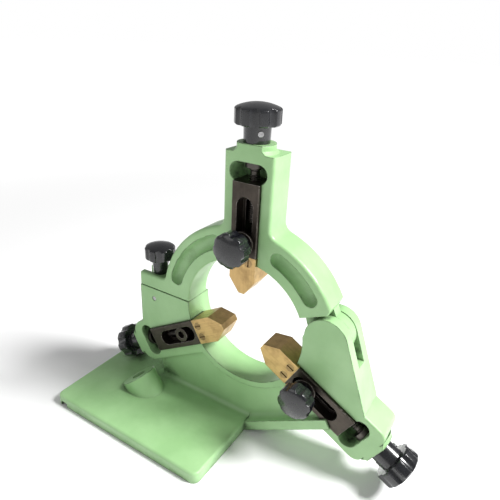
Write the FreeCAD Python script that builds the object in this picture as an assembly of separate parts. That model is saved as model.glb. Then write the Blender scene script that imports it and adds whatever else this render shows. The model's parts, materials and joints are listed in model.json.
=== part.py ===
import FreeCAD, Part
import math
import os

from FreeCAD import Vector

# Steady rest for a cylindrical grinder: a cast base with a lower half ring, a hinged arch
# that closes the ring, and three screw-adjusted brass-tipped jaws at 120 degrees.
# Frame: millimetres, +Z up, +Y through the ring from front to back.  The origin lies on the
# base plate's flat underside, straight below the work axis; the jaws' screws lie in Y = 0.
# Everything is drawn about the work axis and lifted by CENTRE_HEIGHT when it is written.

# ---- driving dimensions ------------------------------------------------------------------
CENTRE_HEIGHT = 125.0        # work axis above the table

RING_BORE_R = 65.0           # opening of the ring
RING_OUTER_R = 98.0          # outside of the arch
FRONT_DEPTH = 12.0           # front faces of both castings, in front of the screw plane
ARCH_BACK_DEPTH = 19.0       # arch's back face behind the screw plane
BASE_BACK_DEPTH = 22.0       # base's back face behind the screw plane
CAST_EDGE_R = 1.6            # rounding on the castings' outer edges

PLATE_LEFT = 178.5           # base plate, measured from the work axis
PLATE_RIGHT = 12.5
PLATE_FRONT = 100.0
PLATE_THICK = 12.0
PLATE_CORNER_R = 7.0
PLATE_EDGE_R = 2.5

KEYWAY_INSET = 7.0           # locating groove under the plate's left edge
KEYWAY_WIDTH = 8.0
KEYWAY_DEPTH = 5.0

CLAMP_BOSS_R = 19.0          # slanted boss for the table clamp bolt
CLAMP_BOSS_TILT = 36.0       # degrees from upright, leaning to the left
CLAMP_BOSS_X = -118.0        # centre of its face
CLAMP_BOSS_Y = -36.0
CLAMP_BOLT_HOLE_R = 7.5

RIM_THICK = 6.5              # rim round the lower half of the bore
WEB_FRONT_DEPTH = 7.0        # web's front face, in front of the screw plane
WEB_THICK = 19.0
WEB_LEFT = 105.0
FLANGE_INNER = 105.0         # slanting foot on the right: distance of its top from the axis
FLANGE_THICK = 10.0
FLANGE_FRONT_DEPTH = 17.0
FLANGE_REACH = 52.0
COVE_R = 5.0                 # cast fillets round the web

PILLAR_LEFT = 131.0          # left pillar and the arch's lug above it
PILLAR_ROOT = 60.0
LUG_HEIGHT = 16.0
LUG_FILLET_R = 5.0
SPLIT_GAP = 0.3

TOWER_HALF_WIDTH = 24.4      # housing of the top jaw
TOWER_FILLET_R = 10.0
TOWER_EDGE_R = 3.0

SHOULDER_ANGLE = 24.5        # arch's lower right end lies on this radius
SHOULDER_CHAMFER = 5.0
HINGE_X = 86.0
HINGE_Z = 14.0
EAR_R = 20.4
EAR_THICK = 11.0
FORK_SLOT_WIDTH = 12.0
FORK_SLOT_FLOOR = 22.0       # below the hinge pin
TONGUE_CLEAR = 0.3
TONGUE_TIP_CLEAR = 0.6       # tongue's round end inside the ears' outline
TONGUE_OUTER_STEP = 3.2      # neck of the tongue, inside the arch's outer face
HINGE_PIN_R = 6.0
HINGE_PIN_BLIND = 5.0        # pin's front end, inside the front ear

HOUSING_HALF_WIDTH = 24.5    # housings of the two lower jaws
SCREW_BOSS_R = 16.8
SCREW_BOSS_FLARE = 3.0

POCKET_R = 83.0              # curved pockets in the arch's front face
POCKET_HALF_WIDTH = 7.0
POCKET_DEPTH = 8.0
POCKET_ANGLES = ((36.0, 66.0), (114.0, 164.0))

SLIDE_WIDTH = 27.0           # jaw slides
SLIDE_LENGTH = 67.0
SLIDE_PROUD = 3.0            # slide's face, in front of the casting's
SLIDE_BACK = 9.5             # slide's back, behind the screw plane
SLIDE_CLEAR = 0.15
SLIDE_CHAMFER = 0.6
SLOT_WIDTH = 11.0
SLOT_RECESS_WIDTH = 16.6
SLOT_RECESS_DEPTH = 11.0
SLOT_FROM_TIP = 3.2
SLOT_FROM_END = 12.5

TIP_LENGTH = 38.5            # brass tips
TIP_TAPER = 14.0
TIP_NOSE_WIDTH = 6.0
TENON_WIDTH = 18.0
TENON_LENGTH = 15.0
TENON_FRONT = 8.3            # tenon's faces, in front of and behind the screw plane
TENON_BACK = 2.8
TIP_SCREW_R = 2.5
TIP_SCREW_HEAD_R = 4.0
TIP_SCREW_HEAD_H = 2.8
TIP_SCREW_SPACING = 12.0
TIP_SCREW_INSET = 5.8
TIP_SCREW_LENGTH = 15.0
DRIVER_SLOT_WIDTH = 1.2
DRIVER_SLOT_DEPTH = 1.2

WINDOW_WIDTH = 37.0          # cross window at the outer end of each guide
WINDOW_HEIGHT = 17.0

SCREW_R = 5.0                # adjusting screws
SCREW_INNER_END = 100.0      # from the work axis
SCREW_IN_KNOB = 24.0
COLLAR_R = 9.0
COLLAR_THICK = 5.0
RUN_CLEAR = 0.05             # radial clearance of every turning fit
TURN_GAP = 0.1               # axial clearance of every turning face

ADJUST_KNOB = dict(head_r=19.8, head_h=14.0, dome=4.0, hub_r=11.4, hub_top_r=11.8, hub_h=14.5)
ADJUST_KNOB_PIN_R = 2.4
ADJUST_KNOB_PIN_HEIGHT = 8.5
ADJUST_KNOB_PIN_PROUD = 0.4
CLAMP_KNOB = dict(head_r=16.0, head_h=13.0, dome=3.0, hub_r=8.5, hub_top_r=9.5, hub_h=9.0)
LOCK_KNOB = dict(head_r=16.0, head_h=13.0, dome=3.0, hub_r=7.6, hub_top_r=9.2, hub_h=17.0)
KNOB_LOBES = 8

CLAMP_R = 85.0               # clamp screws, from the work axis
CLAMP_STUD_R = 5.0
CLAMP_STUD_IN_KNOB = 16.0
CLAMP_WASHER_R = 11.0
CLAMP_WASHER_THICK = 2.5
CLAMP_END_GAP = 1.0          # screw's end, inside the casting's back face
CAP_SCREW_R = 5.0
CAP_HEAD_R = 8.0
CAP_HEAD_H = 10.0
CAP_SOCKET_R = 4.6
CAP_SOCKET_DEPTH = 5.0

EYE_BOLT_X = -112.0          # upright eye bolt that holds the arch shut
EYE_PIN_DROP = 12.0          # its pin, below the split
EYE_R = 9.0
EYE_PIN_R = 2.5
EYE_POCKET_CLEAR = 1.0
EYE_SIDE_CLEAR = 0.3
LUG_SLOT_WIDTH = 12.0
EYE_BOLT_R = 4.2             # core of its thread
EYE_BOLT_RISE = 15.0         # above the lug
BUSH_BORE_R = 5.0            # lock knob's threaded bush
BUSH_R = 6.4
BUSH_LENGTH = 17.0

# Each jaw: its angle, its nose's distance from the work axis at rest, the outer edge of its
# window, the outer end of its housing, the height of the screw boss there, the end's corners.
JAWS = {
    "top": dict(angle=90.0, nose=34.0, window=156.0, end=164.0, boss=7.5, corner=2.0,
                back=ARCH_BACK_DEPTH, clamp="knob"),
    "left": dict(angle=210.0, nose=22.5, window=146.5, end=160.0, boss=3.0, corner=16.0,
                 back=BASE_BACK_DEPTH, clamp="cap_screw"),
    "right": dict(angle=330.0, nose=29.5, window=151.5, end=164.5, boss=4.0, corner=9.0,
                  back=BASE_BACK_DEPTH, clamp="knob"),
}

# ---- sizes that follow -------------------------------------------------------------------
FRONT_Y = -FRONT_DEPTH
TABLE_Z = -CENTRE_HEIGHT
PLATE_TOP_Z = TABLE_Z + PLATE_THICK
SLIDE_FRONT_Y = FRONT_Y - SLIDE_PROUD
GUIDE_FLOOR_Y = SLIDE_BACK + SLIDE_CLEAR
FORK_FRONT_Y = FRONT_Y + EAR_THICK
FORK_BACK_Y = FORK_FRONT_Y + FORK_SLOT_WIDTH
WEB_BACK_Y = WEB_THICK - WEB_FRONT_DEPTH
EYE_PIN_Z = -EYE_PIN_DROP
LUG_TOP_Z = LUG_HEIGHT
Y_AXIS = Vector(0, 1, 0)
ORIGIN = Vector(0, 0, 0)
FAR = 400.0


# ---- helpers -----------------------------------------------------------------------------
def at(x, z, y=0.0):
    return Vector(x, y, z)


def polar(radius, degrees, y=0.0):
    """Point at a radius and angle about the work axis, in a plane across it."""
    a = math.radians(degrees)
    return Vector(radius * math.cos(a), y, radius * math.sin(a))


def block(x0, x1, y0, y1, z0, z1):
    return Part.makeBox(x1 - x0, y1 - y0, z1 - z0, Vector(x0, y0, z0))


def rod(radius, start, end):
    """Round bar from one point to another."""
    line = end - start
    return Part.makeCylinder(radius, line.Length, start, line)


def along_y(edges, y0, y1):
    """Solid between two planes across Y, from a closed outline of edges in Y = 0."""
    wire = Part.Wire(Part.__sortEdges__(edges))
    face = Part.Face(wire)
    face.translate(Vector(0, y0, 0))
    return face.extrude(Vector(0, y1 - y0, 0))


def polygon(points, y0, y1):
    corners = [at(x, z) for x, z in points]
    edges = [Part.makeLine(a, b) for a, b in zip(corners, corners[1:] + corners[:1])]
    return along_y(edges, y0, y1)


def rounded_edges(solid, radius, wanted):
    """Fillet the edges for which wanted(edge) is true."""
    return solid.makeFillet(radius, [e for e in solid.Edges if wanted(e)])


def in_plane_y(edge, *planes):
    box = edge.BoundBox
    return any(abs(box.YMin - y) < 1e-4 and abs(box.YMax - y) < 1e-4 for y in planes)


def parallel_to_y(edge):
    box = edge.BoundBox
    return box.XLength < 1e-4 and box.ZLength < 1e-4


def turned(shape, angle):
    """Turn a piece drawn with its radial direction along +X to a jaw's angle."""
    copy = shape.copy()
    copy.rotate(ORIGIN, Y_AXIS, -angle)
    return copy


def fuse(solids):
    joined = solids[0].fuse(solids[1:])
    return joined.removeSplitter()


def stadium_along_x(x0, x1, width, y0, y1):
    """Slot with round ends, its length along X, cut from y0 to y1."""
    r = width / 2
    ends = [rod(r, at(x, 0, y0), at(x, 0, y1)) for x in (x0 + r, x1 - r)]
    return fuse([block(x0 + r, x1 - r, y0, y1, -r, r)] + ends)


def stadium_along_z(x0, x1, length, y0, y1):
    """Slot with round ends, its length along Z, filling x0 to x1."""
    r = (x1 - x0) / 2
    mid = (x0 + x1) / 2
    half = length / 2 - r
    ends = [rod(r, at(mid, z, y0), at(mid, z, y1)) for z in (-half, half)]
    return fuse([block(x0, x1, y0, y1, -half, half)] + ends)


# ---- jaws: positions that the castings and the pieces share --------------------------------
def steel_start(jaw):
    """Where a jaw's steel slide begins, behind its brass tip."""
    return jaw["nose"] + TIP_LENGTH


def knob_seat(jaw):
    """Face that a jaw's adjusting knob turns on."""
    return jaw["end"] + jaw["boss"]


def guide_cutter(jaw):
    """Guide for the slide, cross window, screw bore and clamp bore of one jaw."""
    half = SLIDE_WIDTH / 2 + SLIDE_CLEAR
    inner = jaw["window"] - WINDOW_HEIGHT
    front = SLIDE_FRONT_Y
    clamp_r = CLAMP_STUD_R if jaw["clamp"] == "knob" else CAP_SCREW_R
    cutters = [
        block(RING_BORE_R / 2, inner + WINDOW_HEIGHT / 2, front, GUIDE_FLOOR_Y, -half, half),
        stadium_along_z(inner, jaw["window"], WINDOW_WIDTH, front, GUIDE_FLOOR_Y),
        rod(SCREW_R + RUN_CLEAR, at(inner, 0), at(knob_seat(jaw) + 1, 0)),
        rod(clamp_r + RUN_CLEAR, at(CLAMP_R, 0, 0), at(CLAMP_R, 0, jaw["back"] + 1)),
    ]
    return turned(fuse(cutters), jaw["angle"])


def housing(jaw, half_width):
    """Block that carries one lower jaw, with its screw boss."""
    body = block(RING_BORE_R - 10, jaw["end"], FRONT_Y, jaw["back"], -half_width, half_width)
    body = rounded_edges(body, jaw["corner"],
                         lambda e: parallel_to_y(e) and abs(e.BoundBox.XMax - jaw["end"]) < 1e-4)
    body = rounded_edges(body, CAST_EDGE_R,
                         lambda e: in_plane_y(e, FRONT_Y, jaw["back"])
                         and e.BoundBox.XMax > RING_BORE_R)
    return turned(fuse([body, screw_boss(jaw)]), jaw["angle"])


def screw_boss(jaw):
    """Round boss under the adjusting knob, flared at its root and flush with the front."""
    root, face = jaw["end"], knob_seat(jaw)
    flare = min(SCREW_BOSS_FLARE, 0.8 * jaw["boss"])
    boss = fuse([rod(SCREW_BOSS_R, at(root - 5, 0), at(face, 0)),
                 Part.makeCone(SCREW_BOSS_R + flare, SCREW_BOSS_R, flare, at(root, 0), Vector(1, 0, 0))])
    return boss.common(block(0, FAR, FRONT_Y, jaw["back"], -FAR, FAR))


# ---- arch ----------------------------------------------------------------------------------
def arch_outline():
    """Outer and inner outline of the closed arch, in Y = 0."""
    circle_r = RING_OUTER_R
    tower_z = math.sqrt((circle_r + TOWER_FILLET_R) ** 2 - (TOWER_HALF_WIDTH + TOWER_FILLET_R) ** 2)
    lug_x = math.sqrt((circle_r + LUG_FILLET_R) ** 2 - (LUG_TOP_Z + LUG_FILLET_R) ** 2)
    to_circle = circle_r / (circle_r + TOWER_FILLET_R)
    lug_to_circle = circle_r / (circle_r + LUG_FILLET_R)
    top = JAWS["top"]["end"]

    def fillet(centre, radius, first, last):
        """Arc round a centre between two tangent points, bulging towards the casting."""
        middle = (first + last) * 0.5 - centre
        middle.normalize()
        return Part.Arc(first, centre + middle * radius, last).toShape()

    right_c = at(TOWER_HALF_WIDTH + TOWER_FILLET_R, tower_z)
    left_c = at(-TOWER_HALF_WIDTH - TOWER_FILLET_R, tower_z)
    lug_c = at(-lug_x, LUG_TOP_Z + LUG_FILLET_R)
    right_a, right_b = at(TOWER_HALF_WIDTH, tower_z), right_c * to_circle
    left_a, left_b = at(-TOWER_HALF_WIDTH, tower_z), left_c * to_circle
    lug_a, lug_b = lug_c * lug_to_circle, at(-lug_x, LUG_TOP_Z)
    shoulder_out = polar(circle_r - SHOULDER_CHAMFER, SHOULDER_ANGLE)
    chamfer_angle = SHOULDER_ANGLE + math.degrees(SHOULDER_CHAMFER / circle_r)
    corner = polar(circle_r, chamfer_angle)
    shoulder_in = polar(RING_BORE_R, SHOULDER_ANGLE)
    split_in = at(-math.sqrt(RING_BORE_R ** 2 - SPLIT_GAP ** 2), SPLIT_GAP)
    left_angle = math.degrees(math.atan2(left_b.z, left_b.x))
    lug_angle = math.degrees(math.atan2(lug_a.z, lug_a.x))
    right_angle = math.degrees(math.atan2(right_b.z, right_b.x))
    return [
        Part.makeLine(split_in, at(-PILLAR_LEFT, SPLIT_GAP)),
        Part.makeLine(at(-PILLAR_LEFT, SPLIT_GAP), at(-PILLAR_LEFT, LUG_TOP_Z)),
        Part.makeLine(at(-PILLAR_LEFT, LUG_TOP_Z), lug_b),
        fillet(lug_c, LUG_FILLET_R, lug_b, lug_a),
        Part.Arc(lug_a, polar(circle_r, (left_angle + lug_angle) / 2), left_b).toShape(),
        fillet(left_c, TOWER_FILLET_R, left_b, left_a),
        Part.makeLine(left_a, at(-TOWER_HALF_WIDTH, top)),
        Part.makeLine(at(-TOWER_HALF_WIDTH, top), at(TOWER_HALF_WIDTH, top)),
        Part.makeLine(at(TOWER_HALF_WIDTH, top), right_a),
        fillet(right_c, TOWER_FILLET_R, right_a, right_b),
        Part.Arc(right_b, polar(circle_r, (right_angle + chamfer_angle) / 2), corner).toShape(),
        Part.makeLine(corner, shoulder_out),
        Part.makeLine(shoulder_out, shoulder_in),
        Part.Arc(shoulder_in, polar(RING_BORE_R, (SHOULDER_ANGLE + 180) / 2), split_in).toShape(),
    ]


def curved_pocket(start, end):
    """Round-bottomed groove along part of a circle, with ball ends."""
    minor = (POCKET_HALF_WIDTH ** 2 + POCKET_DEPTH ** 2) / (2 * POCKET_DEPTH)
    y = FRONT_Y + POCKET_DEPTH - minor
    # A torus about Y, turned from its own +Z axis, spanning the wanted angles.
    ring = Part.makeTorus(POCKET_R, minor, ORIGIN, Vector(0, 0, 1), 0, 360, end - start)
    ring.rotate(ORIGIN, Vector(1, 0, 0), 90)
    ring.rotate(ORIGIN, Y_AXIS, -start)
    ring.translate(Vector(0, y, 0))
    balls = [Part.makeSphere(minor, polar(POCKET_R, a, y)) for a in (start, end)]
    return ring.fuse(balls)


def tongue():
    """Hinge tongue under the arch's shoulder: a round end and a neck along the bore."""
    y0 = FORK_FRONT_Y + TONGUE_CLEAR
    y1 = FORK_BACK_Y - TONGUE_CLEAR
    round_r = EAR_R - TONGUE_TIP_CLEAR
    pivot = at(HINGE_X, HINGE_Z)
    outward = polar(1, SHOULDER_ANGLE)
    upward = polar(1, SHOULDER_ANGLE + 90)
    offset = pivot.dot(outward)
    neck_out = RING_OUTER_R - TONGUE_OUTER_STEP - offset
    rise = EAR_R + 14
    corners = [pivot + outward * -round_r, pivot + outward * neck_out,
               pivot + outward * neck_out + upward * rise,
               pivot + outward * -round_r + upward * rise]
    neck = polygon([(c.x, c.z) for c in corners], y0, y1)
    disc = rod(round_r, at(HINGE_X, HINGE_Z, y0), at(HINGE_X, HINGE_Z, y1))
    shape = fuse([neck, disc])
    beyond_ring = rod(RING_OUTER_R, at(0, 0, y0), at(0, 0, y1))
    kept = fuse([shape.common(beyond_ring), disc])
    return kept.cut(rod(RING_BORE_R, at(0, 0, y0 - 1), at(0, 0, y1 + 1)))


def make_arch_casting():
    body = along_y(arch_outline(), FRONT_Y, ARCH_BACK_DEPTH)
    top = JAWS["top"]["end"]
    body = rounded_edges(body, TOWER_EDGE_R,
                         lambda e: in_plane_y(e, FRONT_Y, ARCH_BACK_DEPTH)
                         and abs(e.BoundBox.XLength) < 1e-4
                         and e.BoundBox.ZMax > top - 1)
    body = rounded_edges(body, CAST_EDGE_R,
                         lambda e: in_plane_y(e, FRONT_Y, ARCH_BACK_DEPTH)
                         and e.BoundBox.ZMax < RING_OUTER_R + 8
                         and e.BoundBox.ZMin > SPLIT_GAP - 1)
    body = fuse([body, turned(screw_boss(JAWS["top"]), 90), tongue()])
    body = body.cut(guide_cutter(JAWS["top"]))
    for start, end in POCKET_ANGLES:
        body = body.cut(curved_pocket(start, end))
    half = LUG_SLOT_WIDTH / 2
    bolt_end = EYE_BOLT_X + half
    lug_slot = fuse([block(-PILLAR_LEFT - 1, EYE_BOLT_X, -half, half, -1, LUG_TOP_Z + 1),
                     rod(half, at(EYE_BOLT_X, -1), at(EYE_BOLT_X, LUG_TOP_Z + 1))])
    body = body.cut(lug_slot)
    pin = rod(HINGE_PIN_R + RUN_CLEAR, at(HINGE_X, HINGE_Z, FRONT_Y), at(HINGE_X, HINGE_Z, FAR))
    return body.cut(pin)


# ---- base ------------------------------------------------------------------------------------
def base_plate():
    plate = block(-PLATE_LEFT, PLATE_RIGHT, -PLATE_FRONT, BASE_BACK_DEPTH, TABLE_Z, PLATE_TOP_Z)
    plate = rounded_edges(plate, PLATE_CORNER_R,
                          lambda e: e.BoundBox.ZLength > PLATE_THICK - 1
                          and e.BoundBox.YMax < -PLATE_FRONT + 1)
    return rounded_edges(plate, PLATE_EDGE_R,
                         lambda e: e.BoundBox.ZMin > PLATE_TOP_Z - 1e-4
                         and e.BoundBox.YMin < BASE_BACK_DEPTH - 1
                         and e.BoundBox.XMax < PLATE_RIGHT - 1)


def flange_point(distance, reach):
    """Point of the slanting foot: its distance from the work axis, and along its length."""
    return polar(distance, -60) + polar(reach, 30)


def slanting_foot():
    outer = FLANGE_INNER + FLANGE_THICK
    ends = [flange_point(FLANGE_INNER, -FLANGE_REACH), flange_point(outer, -FLANGE_REACH),
            flange_point(outer, FLANGE_REACH), flange_point(FLANGE_INNER, FLANGE_REACH)]
    return polygon([(p.x, p.z) for p in ends], -FLANGE_FRONT_DEPTH, BASE_BACK_DEPTH)


def web():
    middle = FLANGE_INNER + FLANGE_THICK / 2
    foot_right = flange_point(middle, FLANGE_REACH - 6)
    foot_left = flange_point(middle, -FLANGE_REACH + 8)
    left = polar(JAWS["left"]["end"] - 22, 210) + polar(16, 300)
    points = [(-WEB_LEFT, PLATE_TOP_Z - 2), (left.x, left.z), (0, 0),
              (foot_right.x, foot_right.z + 8), (foot_right.x, foot_right.z),
              (foot_left.x, foot_left.z), (foot_left.x - 6, PLATE_TOP_Z - 2)]
    return polygon(points, -WEB_FRONT_DEPTH, WEB_BACK_Y)


def right_body():
    """Flat cheek from the right jaw's housing up to the hinge."""
    pivot = at(HINGE_X, HINGE_Z)
    jaw = JAWS["right"]
    knee = polar(jaw["end"] - 28, jaw["angle"]) + polar(HOUSING_HALF_WIDTH, jaw["angle"] + 90)
    reach = knee - pivot
    lean = math.degrees(math.atan2(reach.z, reach.x)) + math.degrees(math.acos(EAR_R / reach.Length))
    touch = pivot + polar(EAR_R, lean)
    inside = polar(jaw["end"] - 50, jaw["angle"])
    root = polar(RING_BORE_R - 5, jaw["angle"])
    points = [(HINGE_X - EAR_R, HINGE_Z), (touch.x, touch.z), (knee.x, knee.z),
              (inside.x, inside.z), (root.x, root.z)]
    back = BASE_BACK_DEPTH
    cheek = polygon(points, FRONT_Y, back)
    ear = rod(EAR_R, at(HINGE_X, HINGE_Z, FRONT_Y), at(HINGE_X, HINGE_Z, back))
    return fuse([cheek, ear])


def pillar():
    left = PILLAR_LEFT
    root = polar(JAWS["left"]["end"] - 20, 210)
    points = [(-left, 0), (-PILLAR_ROOT, 0), (-PILLAR_ROOT, -30), (-left, root.z)]
    return polygon(points, FRONT_Y, BASE_BACK_DEPTH)


def rim():
    outer = rod(RING_BORE_R + RIM_THICK, at(0, 0, FRONT_Y), at(0, 0, BASE_BACK_DEPTH))
    upper = block(-FAR, FAR, -FAR, FAR, 0, FAR)
    return outer.cut(upper)


def plate_cove(y, side):
    """Cast fillet between the plate and a face of the web, side -1 in front, +1 behind."""
    x0, x1 = -WEB_LEFT, PLATE_RIGHT
    outer = y + side * COVE_R
    bar = block(x0, x1, min(y, outer), max(y, outer), PLATE_TOP_Z - 0.5, PLATE_TOP_Z + COVE_R)
    centre_z = PLATE_TOP_Z + COVE_R
    hollow = rod(COVE_R, Vector(x0 - 1, outer, centre_z), Vector(x1 + 1, outer, centre_z))
    return bar.cut(hollow)


def foot_cove(y, side):
    """Cast fillet between the slanting foot and a face of the web."""
    outer = y + side * COVE_R
    a = flange_point(FLANGE_INNER + 0.5, -FLANGE_REACH + 6)
    b = flange_point(FLANGE_INNER + 0.5, FLANGE_REACH - 2)
    c = flange_point(FLANGE_INNER - COVE_R, FLANGE_REACH - 2)
    d = flange_point(FLANGE_INNER - COVE_R, -FLANGE_REACH + 6)
    bar = polygon([(p.x, p.z) for p in (a, b, c, d)], min(y, outer), max(y, outer))
    start = flange_point(FLANGE_INNER - COVE_R, -FLANGE_REACH) + Vector(0, outer, 0)
    end = flange_point(FLANGE_INNER - COVE_R, FLANGE_REACH) + Vector(0, outer, 0)
    return bar.cut(rod(COVE_R, start, end))


def rim_cove(y, side):
    """Cast fillet between the rim and a face of the web."""
    inner = RING_BORE_R + RIM_THICK - 0.5
    outer = RING_BORE_R + RIM_THICK + COVE_R
    y1 = y + side * COVE_R
    band = rod(outer, at(0, 0, min(y, y1)), at(0, 0, max(y, y1)))
    band = band.cut(rod(inner, at(0, 0, -FAR), at(0, 0, FAR)))
    hollow = Part.makeTorus(outer, COVE_R, Vector(0, y1, 0), Y_AXIS)
    upper = block(-FAR, FAR, -FAR, FAR, -30, FAR)
    return band.cut(hollow).cut(upper)


def clamp_axis():
    """Face centre and downward direction of the slanted table clamp bolt."""
    tilt = math.radians(CLAMP_BOSS_TILT)
    rise = CLAMP_BOSS_R * math.sin(tilt)
    centre = Vector(CLAMP_BOSS_X, CLAMP_BOSS_Y, PLATE_TOP_Z + rise)
    down = Vector(math.sin(tilt), 0, -math.cos(tilt))
    return centre, down


def clamp_boss():
    centre, down = clamp_axis()
    boss = rod(CLAMP_BOSS_R, centre, centre + down * (2 * CLAMP_BOSS_R))
    below = block(-FAR, FAR, -FAR, FAR, -FAR, PLATE_TOP_Z - 2)
    return boss.cut(below)


def make_base_casting():
    left, right = JAWS["left"], JAWS["right"]
    solids = [base_plate(), web(), slanting_foot(), rim(), pillar(), right_body(),
              housing(left, HOUSING_HALF_WIDTH), housing(right, HOUSING_HALF_WIDTH), clamp_boss(),
              plate_cove(-WEB_FRONT_DEPTH, -1), foot_cove(-WEB_FRONT_DEPTH, -1),
              rim_cove(-WEB_FRONT_DEPTH, -1), plate_cove(WEB_BACK_Y, 1),
              foot_cove(WEB_BACK_Y, 1), rim_cove(WEB_BACK_Y, 1)]
    body = fuse(solids)
    centre, down = clamp_axis()
    fork = block(RING_BORE_R - 20, FAR, FORK_FRONT_Y, FORK_BACK_Y,
                 HINGE_Z - FORK_SLOT_FLOOR, FAR)
    pin = rod(HINGE_PIN_R, at(HINGE_X, HINGE_Z, FRONT_Y + HINGE_PIN_BLIND), at(HINGE_X, HINGE_Z, FAR))
    eye_half = LUG_SLOT_WIDTH / 2
    pocket_r = EYE_R + EYE_POCKET_CLEAR
    pocket = fuse([block(-PILLAR_LEFT - 1, EYE_BOLT_X, -eye_half, eye_half,
                         EYE_PIN_Z - pocket_r, 1),
                   block(EYE_BOLT_X, EYE_BOLT_X + pocket_r, -eye_half, eye_half, EYE_PIN_Z, 1),
                   rod(pocket_r, at(EYE_BOLT_X, EYE_PIN_Z, -eye_half),
                       at(EYE_BOLT_X, EYE_PIN_Z, eye_half))])
    eye_pin = rod(EYE_PIN_R, at(EYE_BOLT_X, EYE_PIN_Z, FRONT_Y - 1), at(EYE_BOLT_X, EYE_PIN_Z, FAR))
    cutters = [
        rod(RING_BORE_R, at(0, 0, -FAR), at(0, 0, FAR)),
        block(-FAR, FAR, -FAR, FAR, TABLE_Z - FAR, TABLE_Z),
        block(-PLATE_LEFT + KEYWAY_INSET, -PLATE_LEFT + KEYWAY_INSET + KEYWAY_WIDTH,
              -FAR, FAR, TABLE_Z - 1, TABLE_Z + KEYWAY_DEPTH),
        rod(CLAMP_BOLT_HOLE_R, centre - down * 10, centre + down * 60),
        fork, pin, pocket, eye_pin, guide_cutter(left), guide_cutter(right),
    ]
    for cutter in cutters:
        body = body.cut(cutter)
    return body


# ---- hinge pin, eye bolt and lock knob -------------------------------------------------------
def make_hinge_pin():
    return rod(HINGE_PIN_R, at(HINGE_X, HINGE_Z, FRONT_Y + HINGE_PIN_BLIND),
               at(HINGE_X, HINGE_Z, BASE_BACK_DEPTH))


def make_eye_pin():
    return rod(EYE_PIN_R, at(EYE_BOLT_X, EYE_PIN_Z, FRONT_Y + 0.4),
               at(EYE_BOLT_X, EYE_PIN_Z, BASE_BACK_DEPTH - 0.4))


def make_eye_bolt():
    half = LUG_SLOT_WIDTH / 2 - EYE_SIDE_CLEAR
    eye = rod(EYE_R, at(EYE_BOLT_X, EYE_PIN_Z, -half), at(EYE_BOLT_X, EYE_PIN_Z, half))
    tip_z = LUG_TOP_Z + EYE_BOLT_RISE
    shank = rod(EYE_BOLT_R, at(EYE_BOLT_X, EYE_PIN_Z), at(EYE_BOLT_X, tip_z))
    shank = shank.makeChamfer(1.0, [e for e in shank.Edges if e.BoundBox.ZMin > tip_z - 1e-4])
    bolt = fuse([eye, shank])
    return bolt.cut(rod(EYE_PIN_R, at(EYE_BOLT_X, EYE_PIN_Z, -FAR), at(EYE_BOLT_X, EYE_PIN_Z, FAR)))


def star_knob(head_r, head_h, dome, hub_r, hub_top_r, hub_h):
    """Lobed knob standing on its hub at Z = 0, its domed head on top."""
    lip = 1.2
    top = hub_h + head_h
    corners = [at(0, 0), at(hub_r, 0), at(hub_top_r, hub_h), at(head_r - lip, hub_h),
               at(head_r, hub_h + lip), at(head_r, top - lip), at(head_r - lip, top)]
    edges = [Part.makeLine(a, b) for a, b in zip(corners, corners[1:])]
    crown = ((head_r - lip) ** 2 + dome ** 2) / (2 * dome)
    half = math.asin((head_r - lip) / crown) / 2
    mid = at(crown * math.sin(half), top + dome - crown * (1 - math.cos(half)))
    edges.append(Part.Arc(corners[-1], mid, at(0, top + dome)).toShape())
    edges.append(Part.makeLine(at(0, top + dome), at(0, 0)))
    knob = Part.Face(Part.Wire(edges)).revolve(ORIGIN, Vector(0, 0, 1), 360)
    scallop_r = head_r * 0.27
    distance = head_r + scallop_r * 0.56
    for i in range(KNOB_LOBES):
        turn = 360.0 * (i + 0.5) / KNOB_LOBES
        a = math.radians(turn)
        foot = Vector(distance * math.cos(a), distance * math.sin(a), hub_h - 1)
        cutter = Part.makeCylinder(scallop_r, head_h + dome + 2, foot)
        knob = knob.cut(cutter)
    return knob


def make_lock_knob():
    knob = star_knob(**LOCK_KNOB)
    knob = knob.cut(rod(BUSH_R, Vector(0, 0, -1), Vector(0, 0, BUSH_LENGTH)))
    knob.translate(at(EYE_BOLT_X, LUG_TOP_Z + TURN_GAP))
    return knob


def make_lock_bush():
    bush = rod(BUSH_R, ORIGIN, Vector(0, 0, BUSH_LENGTH))
    bush = bush.cut(rod(BUSH_BORE_R, Vector(0, 0, -1), Vector(0, 0, BUSH_LENGTH + 1)))
    bush.translate(at(EYE_BOLT_X, LUG_TOP_Z + TURN_GAP))
    return bush


# ---- pieces of one jaw, drawn with the radial direction along +X -----------------------------
def tip_screw_places(jaw):
    x = steel_start(jaw) - TIP_SCREW_INSET
    return [(x, z) for z in (-TIP_SCREW_SPACING / 2, TIP_SCREW_SPACING / 2)]


def tip_screw(x, z):
    front = SLIDE_FRONT_Y
    head = rod(TIP_SCREW_HEAD_R, at(x, z, front), at(x, z, front + TIP_SCREW_HEAD_H))
    shank = rod(TIP_SCREW_R, at(x, z, front), at(x, z, front + TIP_SCREW_LENGTH))
    return fuse([head, shank])


def make_tip_screws(jaw):
    screws = []
    for x, z in tip_screw_places(jaw):
        slot = block(x - FAR, x + FAR, SLIDE_FRONT_Y - 1, SLIDE_FRONT_Y + DRIVER_SLOT_DEPTH,
                     z - DRIVER_SLOT_WIDTH / 2, z + DRIVER_SLOT_WIDTH / 2)
        screws.append(tip_screw(x, z).cut(slot))
    return Part.makeCompound(screws)


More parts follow.
